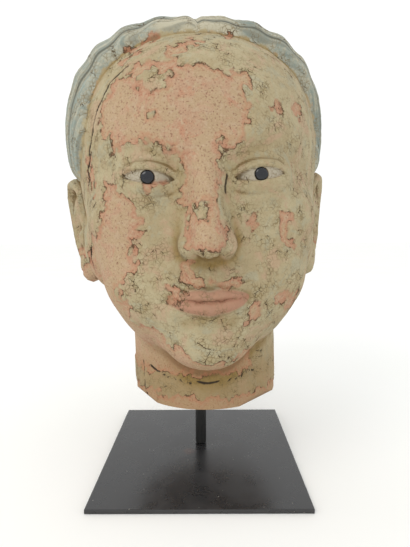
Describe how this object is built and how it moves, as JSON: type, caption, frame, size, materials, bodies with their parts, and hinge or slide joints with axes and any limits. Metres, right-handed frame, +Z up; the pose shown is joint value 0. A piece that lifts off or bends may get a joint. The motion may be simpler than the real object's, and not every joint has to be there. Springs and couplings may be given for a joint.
{
  "type": "earthenware head",
  "caption": "Life-size moulded and painted earthenware head with combed hair, held up by a steel rod on a square steel plate.",
  "frame": {"origin": "centre of the base plate's underside", "axes": "+Z up along the rod, -Y the way the face looks, +X towards the head's own left"},
  "size_m": [0.216, 0.2295, 0.3228],
  "materials": {
    "painted_earthenware": "matt fired clay under a crazed and flaking beige ground, with worn paint",
    "black_glass": "glossy opaque blue-black glass",
    "black_steel_rod": "satin black",
    "black_steel_plate": "satin black, dusty"
  },
  "bodies": {
    "root": {"head": "painted_earthenware", "left_pupil": "black_glass", "right_pupil": "black_glass", "rod": "black_steel_rod", "base_plate": "black_steel_plate"}
  },
  "joints": []
}
